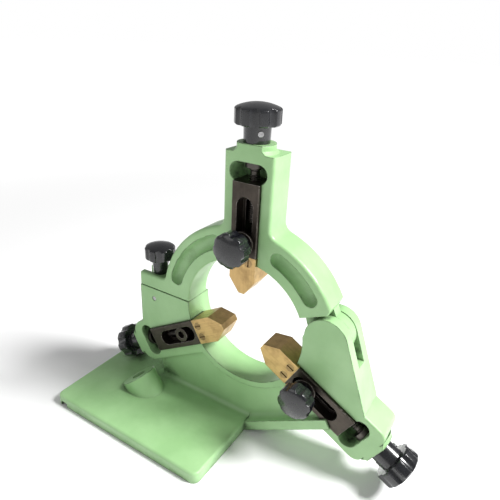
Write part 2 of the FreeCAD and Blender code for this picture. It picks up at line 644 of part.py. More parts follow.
def make_slide(jaw):
    start = steel_start(jaw)
    end = start + SLIDE_LENGTH
    half = SLIDE_WIDTH / 2
    bar = block(start, end, SLIDE_FRONT_Y, SLIDE_BACK, -half, half)
    bar = bar.makeChamfer(SLIDE_CHAMFER, [e for e in bar.Edges if e.BoundBox.XLength > 1])
    tenon = block(start - TENON_LENGTH, start + 1, -TENON_FRONT, TENON_BACK,
                  -TENON_WIDTH / 2, TENON_WIDTH / 2)
    bar = fuse([bar, tenon])
    slot0, slot1 = start + SLOT_FROM_TIP, end - SLOT_FROM_END
    step = (SLOT_RECESS_WIDTH - SLOT_WIDTH) / 2
    ledge = SLIDE_FRONT_Y + SLOT_RECESS_DEPTH
    recess = stadium_along_x(slot0, slot1, SLOT_RECESS_WIDTH, SLIDE_FRONT_Y - 1, ledge)
    through = stadium_along_x(slot0 + step, slot1 - step, SLOT_WIDTH, ledge - 1, SLIDE_BACK + 1)
    bar = bar.cut(recess).cut(through)
    bar = bar.cut(rod(SCREW_R + RUN_CLEAR, at(slot1 - SLOT_WIDTH, 0), at(end + 1, 0)))
    for x, z in tip_screw_places(jaw):
        bar = bar.cut(tip_screw(x, z))
    return bar


def make_tip(jaw):
    nose = jaw["nose"]
    start = steel_start(jaw)
    half, nose_half = SLIDE_WIDTH / 2, TIP_NOSE_WIDTH / 2
    points = [(nose, nose_half), (nose + TIP_TAPER, half), (start, half),
              (start, -half), (nose + TIP_TAPER, -half), (nose, -nose_half)]
    tip = polygon(points, SLIDE_FRONT_Y, SLIDE_BACK)
    mortise = block(start - TENON_LENGTH, start + 1, -TENON_FRONT, TENON_BACK,
                    -TENON_WIDTH / 2, TENON_WIDTH / 2)
    tip = tip.cut(mortise)
    for x, z in tip_screw_places(jaw):
        tip = tip.cut(tip_screw(x, z))
    return tip


def make_adjusting_screw(jaw):
    end = knob_seat(jaw) + TURN_GAP + SCREW_IN_KNOB
    screw = rod(SCREW_R, at(SCREW_INNER_END, 0), at(end, 0))
    screw = screw.makeChamfer(1.0, [e for e in screw.Edges if e.BoundBox.XMax < SCREW_INNER_END + 1])
    return screw.cut(knob_pin_hole(jaw))


def make_screw_collar(jaw):
    outer = jaw["window"] - TURN_GAP
    ring = rod(COLLAR_R, at(outer - COLLAR_THICK, 0), at(outer, 0))
    return ring.cut(rod(SCREW_R, at(outer - COLLAR_THICK - 1, 0), at(outer + 1, 0)))


def knob_pin_hole(jaw):
    """Cross pin through hub and screw, level with the front right when seen from the knob."""
    x = knob_seat(jaw) + TURN_GAP + ADJUST_KNOB_PIN_HEIGHT
    reach = ADJUST_KNOB["hub_top_r"] + ADJUST_KNOB_PIN_PROUD
    side = reach * math.sqrt(0.5)
    return rod(ADJUST_KNOB_PIN_R, Vector(x, -side, -side), Vector(x, side, side))


def make_knob_pin(jaw):
    return knob_pin_hole(jaw)


def make_adjusting_knob(jaw):
    knob = star_knob(**ADJUST_KNOB)
    knob = knob.cut(rod(SCREW_R, Vector(0, 0, -1), Vector(0, 0, SCREW_IN_KNOB)))
    knob.rotate(ORIGIN, Y_AXIS, 90)
    knob.translate(at(knob_seat(jaw) + TURN_GAP, 0))
    return knob.cut(knob_pin_hole(jaw))


# ---- clamps: a star knob on a stud, or a socket cap screw ------------------------------------
def make_clamp_washer():
    back = SLIDE_FRONT_Y - TURN_GAP
    disc = rod(CLAMP_WASHER_R, at(CLAMP_R, 0, back - CLAMP_WASHER_THICK), at(CLAMP_R, 0, back))
    return disc.cut(rod(CLAMP_STUD_R, at(CLAMP_R, 0, -FAR), at(CLAMP_R, 0, FAR)))


def clamp_knob_base():
    return SLIDE_FRONT_Y - TURN_GAP - CLAMP_WASHER_THICK


def make_clamp_stud(jaw):
    front = clamp_knob_base() - CLAMP_STUD_IN_KNOB
    return rod(CLAMP_STUD_R, at(CLAMP_R, 0, front), at(CLAMP_R, 0, jaw["back"] - CLAMP_END_GAP))


def make_clamp_knob():
    knob = star_knob(**CLAMP_KNOB)
    knob = knob.cut(rod(CLAMP_STUD_R, Vector(0, 0, -1), Vector(0, 0, CLAMP_STUD_IN_KNOB)))
    knob.rotate(ORIGIN, Vector(1, 0, 0), 90)
    knob.translate(at(CLAMP_R, 0, clamp_knob_base()))
    return knob


def make_cap_screw(jaw):
    seat = SLIDE_FRONT_Y + SLOT_RECESS_DEPTH - TURN_GAP
    head = rod(CAP_HEAD_R, at(CLAMP_R, 0, seat - CAP_HEAD_H), at(CLAMP_R, 0, seat))
    shank = rod(CAP_SCREW_R, at(CLAMP_R, 0, seat - 1), at(CLAMP_R, 0, jaw["back"] - CLAMP_END_GAP))
    front = seat - CAP_HEAD_H
    corners = [(CLAMP_R + CAP_SOCKET_R * math.cos(math.radians(a)),
                CAP_SOCKET_R * math.sin(math.radians(a))) for a in range(0, 360, 60)]
    socket = polygon(corners, front - 1, front + CAP_SOCKET_DEPTH)
    return fuse([head, shank]).cut(socket)


# ---- write every node --------------------------------------------------------------------------
def jaw_nodes(name, jaw):
    pieces = {
        "slide": make_slide(jaw),
        "tip": make_tip(jaw),
        "tip_screws": make_tip_screws(jaw),
        "adjusting_screw": make_adjusting_screw(jaw),
        "screw_collar": make_screw_collar(jaw),
        "adjusting_knob": make_adjusting_knob(jaw),
        "knob_pin": make_knob_pin(jaw),
    }
    if jaw["clamp"] == "knob":
        pieces["clamp_stud"] = make_clamp_stud(jaw)
        pieces["clamp_washer"] = make_clamp_washer()
        pieces["clamp_knob"] = make_clamp_knob()
    else:
        pieces["clamp_screw"] = make_cap_screw(jaw)
    return {f"{name}_{piece}": turned(shape, jaw["angle"]) for piece, shape in pieces.items()}


def all_nodes():
    nodes = {
        "base_casting": make_base_casting(),
        "hinge_pin": make_hinge_pin(),
        "eye_bolt": make_eye_bolt(),
        "eye_bolt_pin": make_eye_pin(),
        "arch_casting": make_arch_casting(),
        "lock_knob": make_lock_knob(),
        "lock_knob_bush": make_lock_bush(),
    }
    for name, jaw in JAWS.items():
        nodes.update(jaw_nodes(name, jaw))
    return nodes


os.makedirs("parts", exist_ok=True)
for node, shape in all_nodes().items():
    shape.translate(Vector(0, 0, CENTRE_HEIGHT))
    shape.exportStep(f"parts/{node}.step")
    print(node, len(shape.Solids), shape.isValid(), round(shape.Volume))
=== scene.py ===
"""Studio scene of a cast steady rest with a hinged arch and three brass-tipped jaws."""
import json
import logging
import math
from dataclasses import dataclass, field
from enum import Enum
from typing import Callable, Sequence

import bmesh
import bpy
from mathutils import Matrix, Vector


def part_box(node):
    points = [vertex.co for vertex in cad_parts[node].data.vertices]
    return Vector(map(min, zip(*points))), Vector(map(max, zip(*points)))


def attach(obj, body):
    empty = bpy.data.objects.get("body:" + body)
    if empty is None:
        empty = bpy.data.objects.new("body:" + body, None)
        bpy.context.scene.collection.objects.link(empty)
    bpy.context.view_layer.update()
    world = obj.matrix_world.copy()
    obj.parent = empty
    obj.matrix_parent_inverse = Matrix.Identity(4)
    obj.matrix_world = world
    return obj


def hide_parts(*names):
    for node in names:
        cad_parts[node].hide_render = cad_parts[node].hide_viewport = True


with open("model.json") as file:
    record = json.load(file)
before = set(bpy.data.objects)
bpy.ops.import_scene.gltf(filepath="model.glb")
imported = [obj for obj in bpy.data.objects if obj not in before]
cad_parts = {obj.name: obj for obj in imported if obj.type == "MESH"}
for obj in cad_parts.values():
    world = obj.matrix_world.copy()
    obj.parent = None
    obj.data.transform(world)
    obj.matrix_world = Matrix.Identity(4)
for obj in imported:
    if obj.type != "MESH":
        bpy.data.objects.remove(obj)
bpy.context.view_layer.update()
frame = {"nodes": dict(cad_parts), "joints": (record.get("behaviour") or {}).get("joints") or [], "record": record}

LOG = logging.getLogger("steady_rest")
MM = 0.001
UP = Vector((0.0, 0.0, 1.0))


class JawName(Enum):
    """The three jaws, by their place in the ring."""

    TOP = "top"
    LEFT = "left"
    RIGHT = "right"


class ClampForm(Enum):
    """How a jaw's slide is clamped."""

    STAR_KNOB = "star_knob"
    CAP_SCREW = "cap_screw"


# ---- shader graphs -------------------------------------------------------------------------
class Graph:
    """A node tree with short calls for adding and joining nodes."""

    def __init__(self, tree: bpy.types.NodeTree) -> None:
        """Wraps a node tree.

        Args:
            tree: the material's or group's node tree.
        """
        self.tree = tree

    def add(self, kind: str, values: dict | None = None, **props: object) -> bpy.types.Node:
        """Adds a node.

        Args:
            kind: the node's Blender type.
            values: default values of its inputs, by name or index.
            props: properties of the node itself.

        Returns:
            The new node.
        """
        node = self.tree.nodes.new(kind)
        for key, value in props.items():
            setattr(node, key, value)
        for key, value in (values or {}).items():
            node.inputs[key].default_value = value
        return node

    def join(self, source: bpy.types.NodeSocket, target: bpy.types.NodeSocket) -> None:
        """Links one socket to another."""
        self.tree.links.new(source, target)

    def math(self, operation: str, a: object, b: object = 0.0, clamp: bool = False) -> bpy.types.NodeSocket:
        """Adds a Math node.

        Args:
            operation: the operation's name.
            a: first operand, a socket or a number.
            b: second operand, a socket or a number.
            clamp: whether the result is held between 0 and 1.

        Returns:
            The result's socket.
        """
        node = self.add("ShaderNodeMath", operation=operation, use_clamp=clamp)
        for i, operand in enumerate((a, b)):
            if isinstance(operand, bpy.types.NodeSocket):
                self.join(operand, node.inputs[i])
            else:
                node.inputs[i].default_value = operand
        return node.outputs[0]

    def mix(self, mask: object, a: object, b: object, blend: str = "MIX") -> bpy.types.NodeSocket:
        """Mixes two colours.

        Args:
            mask: the mix's factor, a socket or a number.
            a: colour where the mask is 0, a socket or four numbers.
            b: colour where the mask is 1, a socket or four numbers.
            blend: the blend type.

        Returns:
            The mixed colour's socket.
        """
        node = self.add("ShaderNodeMix", data_type="RGBA", blend_type=blend)
        for i, value in ((0, mask), (6, a), (7, b)):
            if isinstance(value, bpy.types.NodeSocket):
                self.join(value, node.inputs[i])
            else:
                node.inputs[i].default_value = value
        return node.outputs[2]

    def noise(self, coords: bpy.types.NodeSocket, scale: float, detail: float = 3.0,
              rough: float = 0.55) -> bpy.types.NodeSocket:
        """Adds a noise texture.

        Args:
            coords: the texture's coordinates.
            scale: its scale, per metre.
            detail: octaves.
            rough: roughness of the octaves.

        Returns:
            The noise's value, between 0 and 1.
        """
        node = self.add("ShaderNodeTexNoise", {"Scale": scale, "Detail": detail, "Roughness": rough})
        self.join(coords, node.inputs["Vector"])
        return node.outputs["Fac"]

    def span(self, value: bpy.types.NodeSocket, low: float, high: float, to_low: float = 0.0,
             to_high: float = 1.0) -> bpy.types.NodeSocket:
        """Maps a range of values to another, held at its ends.

        Args:
            value: the value.
            low: start of its range.
            high: end of its range.
            to_low: result at the start.
            to_high: result at the end.

        Returns:
            The mapped value's socket.
        """
        node = self.add("ShaderNodeMapRange", {1: low, 2: high, 3: to_low, 4: to_high})
        self.join(value, node.inputs[0])
        return node.outputs[0]


class EffectGroups:
    """Shader node groups that several finishes share, each built once."""

    def __init__(self) -> None:
        """Builds the groups."""
        self.edge_wear = self._build("edge_wear", self._edge_wear,
                                     (("Radius", 0.001), ("Low", 0.02), ("High", 0.2), ("Scale", 300.0)),
                                     ("Mask", "Normal"))
        # Mask of corners and recesses by ambient occlusion, for painted shade.
        self.crevice_shade = self._build("crevice_shade", self._crevice_shade,
                                         (("Distance", 0.006), ("Scale", 120.0)), ("Mask",))
        self.brushed_grain = self._build("brushed_grain", self._brushed_grain,
                                         (("Angle", 0.0), ("Scale", 900.0), ("Stretch", 0.04)),
                                         ("Value", "Blotch"))

    @staticmethod
    def _build(name: str, fill: Callable[[Graph, dict, dict], None],
               inputs: Sequence[tuple[str, float]], outputs: Sequence[str]) -> bpy.types.NodeTree:
        """Makes one group.

        Args:
            name: the group's name.
            fill: adds the group's nodes, given its graph, inputs and outputs.
            inputs: names and defaults of its inputs.
            outputs: names of its outputs; one called Normal is a vector.

        Returns:
            The group's node tree.
        """
        tree = bpy.data.node_groups.new(name, "ShaderNodeTree")
        for label, default in inputs:
            socket = tree.interface.new_socket(label, in_out="INPUT", socket_type="NodeSocketFloat")
            socket.default_value = default
        for label in outputs:
            kind = "NodeSocketVector" if label == "Normal" else "NodeSocketFloat"
            tree.interface.new_socket(label, in_out="OUTPUT", socket_type=kind)
        graph = Graph(tree)
        source = graph.add("NodeGroupInput")
        sink = graph.add("NodeGroupOutput")
        fill(graph, {s.name: s for s in source.outputs}, {s.name: s for s in sink.inputs})
        return tree

    @staticmethod
    def _edge_wear(graph: Graph, inputs: dict, outputs: dict) -> None:
        """Fills the edge wear group: a broken mask on outer edges, and a rounded normal.

        Args:
            graph: the group's graph.
            inputs: its input sockets by name.
            outputs: its output sockets by name.
        """
        coords = graph.add("ShaderNodeTexCoord").outputs["Object"]
        bevel = graph.add("ShaderNodeBevel", samples=6)
        graph.join(inputs["Radius"], bevel.inputs["Radius"])
        normal = graph.add("ShaderNodeNewGeometry").outputs["Normal"]
        dot = graph.add("ShaderNodeVectorMath", operation="DOT_PRODUCT")
        graph.join(bevel.outputs[0], dot.inputs[0])
        graph.join(normal, dot.inputs[1])
        bend = graph.math("SUBTRACT", 1.0, dot.outputs["Value"], clamp=True)
        noise = graph.add("ShaderNodeTexNoise", {"Detail": 4.0, "Roughness": 0.65})
        graph.join(coords, noise.inputs["Vector"])
        graph.join(inputs["Scale"], noise.inputs["Scale"])
        broken = graph.math("MULTIPLY", bend, graph.span(noise.outputs["Fac"], 0.38, 0.62))
        ao = graph.add("ShaderNodeAmbientOcclusion", {"Distance": 0.004}, samples=4)
        outer = graph.math("MULTIPLY", broken, graph.span(ao.outputs["AO"], 0.55, 0.9))
        reach = graph.add("ShaderNodeMapRange", {3: 0.0, 4: 1.0})
        graph.join(outer, reach.inputs[0])
        graph.join(inputs["Low"], reach.inputs[1])
        graph.join(inputs["High"], reach.inputs[2])
        graph.join(reach.outputs[0], outputs["Mask"])
        graph.join(bevel.outputs[0], outputs["Normal"])

    @staticmethod
    def _crevice_shade(graph: Graph, inputs: dict, outputs: dict) -> None:
        """Fills the crevice shade group: a blotchy ambient occlusion mask in corners and recesses, which paints
        shade into a finish's colour.

        Args:
            graph: the group's graph.
            inputs: its input sockets by name.
            outputs: its output sockets by name.
        """
        coords = graph.add("ShaderNodeTexCoord").outputs["Object"]
        ao = graph.add("ShaderNodeAmbientOcclusion", samples=6)
        graph.join(inputs["Distance"], ao.inputs["Distance"])
        noise = graph.add("ShaderNodeTexNoise", {"Detail": 3.0, "Roughness": 0.6})
        graph.join(coords, noise.inputs["Vector"])
        graph.join(inputs["Scale"], noise.inputs["Scale"])
        depth = graph.span(ao.outputs["AO"], 0.35, 0.95, 1.0, 0.0)
        blotch = graph.span(noise.outputs["Fac"], 0.3, 0.7, 0.45, 1.0)
        graph.join(graph.math("MULTIPLY", depth, blotch, clamp=True), outputs["Mask"])

    @staticmethod
    def _brushed_grain(graph: Graph, inputs: dict, outputs: dict) -> None:
        """Fills the brushed grain group: fine lines along one direction, and large blotches.

        Args:
            graph: the group's graph.
            inputs: its input sockets by name.
            outputs: its output sockets by name.
        """
        coords = graph.add("ShaderNodeTexCoord").outputs["Object"]
        turn = graph.add("ShaderNodeVectorRotate", rotation_type="Y_AXIS")
        graph.join(coords, turn.inputs["Vector"])
        graph.join(inputs["Angle"], turn.inputs["Angle"])
        squeeze = graph.add("ShaderNodeCombineXYZ", {1: 1.0, 2: 1.0})
        graph.join(inputs["Stretch"], squeeze.inputs[0])
        scaled = graph.add("ShaderNodeVectorMath", operation="MULTIPLY")
        graph.join(turn.outputs[0], scaled.inputs[0])
        graph.join(squeeze.outputs[0], scaled.inputs[1])
        lines = graph.add("ShaderNodeTexNoise", {"Detail": 4.0, "Roughness": 0.7})
        graph.join(scaled.outputs[0], lines.inputs["Vector"])
        graph.join(inputs["Scale"], lines.inputs["Scale"])
        graph.join(lines.outputs["Fac"], outputs["Value"])
        graph.join(graph.noise(coords, 70.0, 4.0, 0.6), outputs["Blotch"])


GROUPS = EffectGroups()


def place_group(graph: Graph, group: bpy.types.NodeTree, values: dict) -> bpy.types.Node:
    """Adds a group node, then sets its inputs, which exist only once it has its tree."""
    node = graph.add("ShaderNodeGroup", node_tree=group)
    for key, value in values.items():
        node.inputs[key].default_value = value
    return node


def colour(red: float, green: float, blue: float) -> tuple[float, float, float, float]:
    """Opaque colour from linear red, green and blue."""
    return (red, green, blue, 1.0)


def new_surface(name: str, **sockets: object) -> tuple[bpy.types.Material, Graph, bpy.types.Node]:
    """Makes a material with a Principled shader.

    Args:
        name: the material's name.
        sockets: constant values of the shader's sockets, with _ for each space.

    Returns:
        The material, its graph and its shader node.
    """
    material = bpy.data.materials.new(name)
    material.use_nodes = True
    graph = Graph(material.node_tree)
    shader = material.node_tree.nodes["Principled BSDF"]
    for key, value in sockets.items():
        shader.inputs[key.replace("_", " ")].default_value = value
    return material, graph, shader


# ---- finishes --------------------------------------------------------------------------------
@dataclass(frozen=True)
class CastEnamel:
    """Light green enamel over a cast surface."""

    paint: tuple = colour(0.285, 0.500, 0.225)
    pale: tuple = colour(0.360, 0.590, 0.290)
    # Dark green for specks of dirt, and for shade painted into corners and recesses.
    dirt_and_shade: tuple = colour(0.090, 0.150, 0.060)
    chip: tuple = colour(0.055, 0.062, 0.042)
    # Near black, painted as shade deep inside windows and recesses.
    deep_shade: tuple = colour(0.012, 0.015, 0.010)
    peel: float = 0.00010
    lumps: float = 0.0009

    def material(self, name: str) -> bpy.types.Material:
        """Makes the enamel's material.

        Args:
            name: the material's name.

        Returns:
            The material.
        """
        material, graph, shader = new_surface(name, Coat_Weight=0.15, Coat_Roughness=0.2)
        coords = graph.add("ShaderNodeTexCoord").outputs["Object"]
        wear = place_group(graph, GROUPS.edge_wear,
                           {"Radius": 0.0018, "Low": 0.03, "High": 0.14, "Scale": 150.0})
        # Painted shade: an ambient occlusion mask of corners and recesses; the finish is also rougher there.
        dirt_and_shade = place_group(graph, GROUPS.crevice_shade, {"Distance": 0.007, "Scale": 90.0})
        tone = graph.mix(graph.span(graph.noise(coords, 22.0, 3.0), 0.35, 0.68), self.paint, self.pale)
        speck = graph.span(graph.noise(coords, 900.0, 2.0), 0.70, 0.78, 0.0, 0.35)
        tone = graph.mix(speck, tone, self.dirt_and_shade)
        # Painted shade: corners and recesses darkened towards the dark green.
        tone = graph.mix(graph.math("MULTIPLY", dirt_and_shade.outputs["Mask"], 0.55), tone, self.dirt_and_shade)
        tone = graph.mix(graph.math("MULTIPLY", wear.outputs["Mask"], 0.85), tone, self.chip)
        # Painted shade: deep recesses such as the windows darkened to near black by a wide ambient occlusion mask.
        deep_shade_mask = place_group(graph, GROUPS.crevice_shade, {"Distance": 0.024, "Scale": 60.0})
        tone = graph.mix(graph.span(deep_shade_mask.outputs["Mask"], 0.60, 0.92, 0.0, 0.94), tone, self.deep_shade)
        graph.join(tone, shader.inputs["Base Color"])
        rough = graph.span(graph.noise(coords, 60.0, 3.0), 0.3, 0.7, 0.32, 0.48)
        rough = graph.math("ADD", rough, graph.math("MULTIPLY", dirt_and_shade.outputs["Mask"], 0.2), clamp=True)
        graph.join(rough, shader.inputs["Roughness"])
        lumps = graph.math("MULTIPLY", graph.noise(coords, 45.0, 3.0), self.lumps)
        peel = graph.math("MULTIPLY", graph.noise(coords, 420.0, 2.0), self.peel)
        chips = graph.math("MULTIPLY", wear.outputs["Mask"], -0.00015)
        height = graph.math("ADD", graph.math("ADD", lumps, peel), chips)
        bump = graph.add("ShaderNodeBump", {"Strength": 0.8, "Distance": 1.0})
        graph.join(height, bump.inputs["Height"])
        graph.join(wear.outputs["Normal"], bump.inputs["Normal"])
        graph.join(bump.outputs[0], shader.inputs["Normal"])
        return material


@dataclass(frozen=True)
class WorkedMetal:
    """Machined metal: fine lines along one direction, blotches, and edges rubbed bright."""

    base: tuple
    # Dark colour for blotches and grain, and for shade painted into corners.
    stain_and_shade: tuple
    edge: tuple
    rough: tuple = (0.30, 0.46)
    metallic: float = 1.0
    stain_amount: float = 0.5
    edge_amount: float = 0.8
    grain: float = 0.00004

    def material(self, name: str, angle: float = 0.0) -> bpy.types.Material:
        """Makes the metal's material.

        Args:
            name: the material's name.
            angle: direction of the lines about the Y axis, in radians.

        Returns:
            The material.
        """
        material, graph, shader = new_surface(name, Metallic=self.metallic)
        grain = place_group(graph, GROUPS.brushed_grain,
                            {"Angle": angle, "Scale": 1100.0, "Stretch": 0.035})
        wear = place_group(graph, GROUPS.edge_wear,
                           {"Radius": 0.0006, "Low": 0.02, "High": 0.14, "Scale": 260.0})
        # Ambient occlusion mask of corners and recesses, for painted shade.
        dirt_and_shade = place_group(graph, GROUPS.crevice_shade, {"Distance": 0.003, "Scale": 200.0})
        blotch = graph.span(grain.outputs["Blotch"], 0.45, 0.72, 0.0, self.stain_amount)
        tone = graph.mix(blotch, self.base, self.stain_and_shade)
        tone = graph.mix(graph.span(grain.outputs["Value"], 0.25, 0.75, 0.0, 0.30), tone, self.stain_and_shade)
        # Painted shade: corners and recesses darkened towards the dark blotch colour.
        tone = graph.mix(graph.math("MULTIPLY", dirt_and_shade.outputs["Mask"], 0.7), tone, self.stain_and_shade)
        tone = graph.mix(graph.math("MULTIPLY", wear.outputs["Mask"], self.edge_amount), tone, self.edge)
        graph.join(tone, shader.inputs["Base Color"])
        low, high = self.rough
        rough = graph.span(grain.outputs["Value"], 0.2, 0.8, low, high)
        rough = graph.math("ADD", rough, graph.math("MULTIPLY", blotch, 0.15), clamp=True)
        graph.join(rough, shader.inputs["Roughness"])
        bump = graph.add("ShaderNodeBump", {"Strength": 0.6, "Distance": 1.0})
        graph.join(graph.math("MULTIPLY", grain.outputs["Value"], self.grain), bump.inputs["Height"])
        graph.join(wear.outputs["Normal"], bump.inputs["Normal"])
        graph.join(bump.outputs[0], shader.inputs["Normal"])
        return material


@dataclass(frozen=True)
class MouldedBakelite:
    """Glossy black moulded knobs with a little dust and rubbed ridges."""

    base: tuple = colour(0.0050, 0.0055, 0.0075)
    dust: tuple = colour(0.030, 0.032, 0.036)
    rubbed: tuple = colour(0.050, 0.052, 0.056)

    def material(self, name: str) -> bpy.types.Material:
        """Makes the knobs' material.

        Args:
            name: the material's name.

        Returns:
            The material.
        """
        material, graph, shader = new_surface(name, Coat_Weight=0.5, Coat_Roughness=0.10)
        coords = graph.add("ShaderNodeTexCoord").outputs["Object"]
        wear = place_group(graph, GROUPS.edge_wear,
                           {"Radius": 0.0008, "Low": 0.03, "High": 0.25, "Scale": 350.0})
        dust = graph.span(graph.noise(coords, 160.0, 5.0, 0.7), 0.55, 0.80, 0.0, 0.35)
        tone = graph.mix(dust, self.base, self.dust)
        tone = graph.mix(graph.math("MULTIPLY", wear.outputs["Mask"], 0.6), tone, self.rubbed)
        graph.join(tone, shader.inputs["Base Color"])
        rough = graph.span(graph.noise(coords, 220.0, 4.0, 0.65), 0.35, 0.7, 0.18, 0.34)
        graph.join(rough, shader.inputs["Roughness"])
        bump = graph.add("ShaderNodeBump", {"Strength": 0.5, "Distance": 1.0})
        graph.join(graph.math("MULTIPLY", graph.noise(coords, 320.0, 2.0), 0.00008), bump.inputs["Height"])
        graph.join(wear.outputs["Normal"], bump.inputs["Normal"])
        graph.join(bump.outputs[0], shader.inputs["Normal"])
        return material


BRASS = WorkedMetal(colour(0.60, 0.41, 0.18), colour(0.20, 0.12, 0.055), colour(0.80, 0.62, 0.36),
                    rough=(0.28, 0.44), stain_amount=0.6)
SCREW_BRASS = WorkedMetal(colour(0.42, 0.29, 0.14), colour(0.10, 0.06, 0.03), colour(0.020, 0.015, 0.010),
                          rough=(0.32, 0.48), stain_amount=0.6)
DARK_STEEL = WorkedMetal(colour(0.085, 0.072, 0.060), colour(0.022, 0.018, 0.015),
                         colour(0.62, 0.58, 0.54), rough=(0.30, 0.46), metallic=0.9)
BRIGHT_STEEL = WorkedMetal(colour(0.52, 0.52, 0.53), colour(0.20, 0.19, 0.18),
                           colour(0.78, 0.78, 0.78), rough=(0.22, 0.38))
OILED_STEEL = WorkedMetal(colour(0.12, 0.11, 0.10), colour(0.03, 0.027, 0.022),
                          colour(0.35, 0.34, 0.32), rough=(0.28, 0.45))


# ---- modelling -------------------------------------------------------------------------------
def deselect() -> None:
    """Deselects every object."""
    bpy.ops.object.select_all(action="DESELECT")


def start_piece(name: str) -> bpy.types.Object:
    """Names the primitive that was just added, and moves its place into its mesh.

    Args:
        name: the piece's name.

    Returns:
        The piece.
    """
    piece = bpy.context.active_object
    piece.name = name
    piece.data.name = name
    bpy.ops.object.transform_apply(location=True, rotation=True, scale=True)
    return piece


def select_faces(piece: bpy.types.Object, wanted: Callable[[bmesh.types.BMFace], bool]) -> None:
    """In edit mode, selects exactly the faces that a test picks.

    Args:
        piece: the piece in edit mode.
        wanted: the test.
    """
    bpy.ops.mesh.select_mode(type="FACE")
    bpy.ops.mesh.select_all(action="DESELECT")
    mesh = bmesh.from_edit_mesh(piece.data)
    for face in mesh.faces:
        if wanted(face):
            face.select_set(True)
    bmesh.update_edit_mesh(piece.data)


def turned_piece(name: str, profile: Sequence[tuple[float, float]], sides: int = 72) -> bpy.types.Object:
    """Turns a closed round piece about Z, by drawing its top face on from one height to the next.

    Args:
        name: the piece's name.
        profile: radius and height of each step, from the bottom upwards.
        sides: facets round it.

    Returns:
        The piece, standing on the origin's axis.
    """
    deselect()
    (r0, z0), (r1, z1) = profile[0], profile[1]
    bpy.ops.mesh.primitive_cone_add(vertices=sides, radius1=r0, radius2=r1, depth=z1 - z0,
                                    location=(0, 0, (z0 + z1) / 2), end_fill_type="NGON")
    piece = start_piece(name)
    bpy.ops.object.mode_set(mode="EDIT")
    select_faces(piece, lambda f: f.normal.z > 0.99 and f.calc_center_median().z > z1 - 1e-6)
    last_r, last_z = r1, z1
    for radius, height in profile[2:]:
        bpy.ops.mesh.extrude_region_move(TRANSFORM_OT_translate={"value": (0, 0, height - last_z)})
        ratio = radius / last_r
        bpy.ops.transform.resize(value=(ratio, ratio, 1), center_override=(0, 0, height))
        last_r, last_z = radius, height
    bpy.ops.object.mode_set(mode="OBJECT")
    return piece


def apply_bevel(piece: bpy.types.Object, width: float, segments: int = 3, angle: float = 30.0) -> None:
    """Rounds a piece's sharp edges.

    Args:
        piece: the piece.
        width: the rounding's width.
        segments: facets across it.
        angle: edges sharper than this are rounded, in degrees.
    """
    bevel = piece.modifiers.new("edge_rounding", "BEVEL")
    bevel.width = width
    bevel.segments = segments
    bevel.limit_method = "ANGLE"
    bevel.angle_limit = math.radians(angle)
    activate(piece)
    bpy.ops.object.modifier_apply(modifier=bevel.name)


def activate(piece: bpy.types.Object) -> None:
    """Makes one piece the only selected and the active one."""
    deselect()
    piece.select_set(True)
    bpy.context.view_layer.objects.active = piece


def smooth(piece: bpy.types.Object, angle: float = 35.0) -> None:
    """Shades a piece smooth except at edges sharper than an angle in degrees."""
    activate(piece)
    bpy.ops.object.shade_smooth_by_angle(angle=math.radians(angle))


def cut_away(piece: bpy.types.Object, cutters: Sequence[bpy.types.Object]) -> None:
    """Cuts solids out of a piece and removes them.

    Args:
        piece: the piece.
        cutters: closed solids to cut out.
    """
    activate(cutters[0])
    for cutter in cutters[1:]:
        cutter.select_set(True)
    if len(cutters) > 1:
        bpy.ops.object.join()
    joined = bpy.context.active_object
    boolean = piece.modifiers.new("cut", "BOOLEAN")
    boolean.operation = "DIFFERENCE"
    boolean.solver = "EXACT"
    boolean.object = joined
    activate(piece)
    bpy.ops.object.modifier_apply(modifier=boolean.name)
    bpy.data.objects.remove(joined, do_unlink=True)


def set_in_place(piece: bpy.types.Object, seat: Vector, direction: Vector,
                 roll: float = 0.0) -> None:
    """Moves a piece's mesh from the Z axis onto its own axis, with its object at the origin.

    Args:
        piece: the piece, drawn standing on the origin.
        seat: where its origin goes.
        direction: where its Z axis points.
        roll: turn about its own axis, in radians.
    """
    turn = UP.rotation_difference(direction).to_matrix().to_4x4()
    piece.data.transform(Matrix.Translation(seat) @ turn @ Matrix.Rotation(roll, 4, "Z"))
    piece.data.update()


def finish_piece(piece: bpy.types.Object, material: bpy.types.Material, body: str, slot: str,
                 *nodes: str) -> None:
    """Gives a piece its finish, its body and the solids that it stands for.

    Args:
        piece: the piece, in place.
        material: its finish.
        body: the body that it moves with.
        slot: the record's material slot; not used.
        nodes: the solids that it replaces.
    """
    piece.data.materials.clear()
    piece.data.materials.append(material)
    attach(piece, body)
    if nodes:
        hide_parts(*nodes)
    LOG.info("%s on %s, %d faces", piece.name, body, len(piece.data.polygons))


def dress_node(node: str, material: bpy.types.Material) -> None:
    """Gives a solid of the frame its finish.

    Args:
        node: the solid's name.
        material: its finish.
    """
    solid = frame["nodes"][node]
    solid.data.materials.clear()
    solid.data.materials.append(material)
    LOG.info("%s dressed", node)


def joint_of(child: str) -> dict:
    """The turning joint that carries a body, from the frame."""
    return next(j for j in frame["joints"] if j["child"] == child and j["type"] == "hinge")


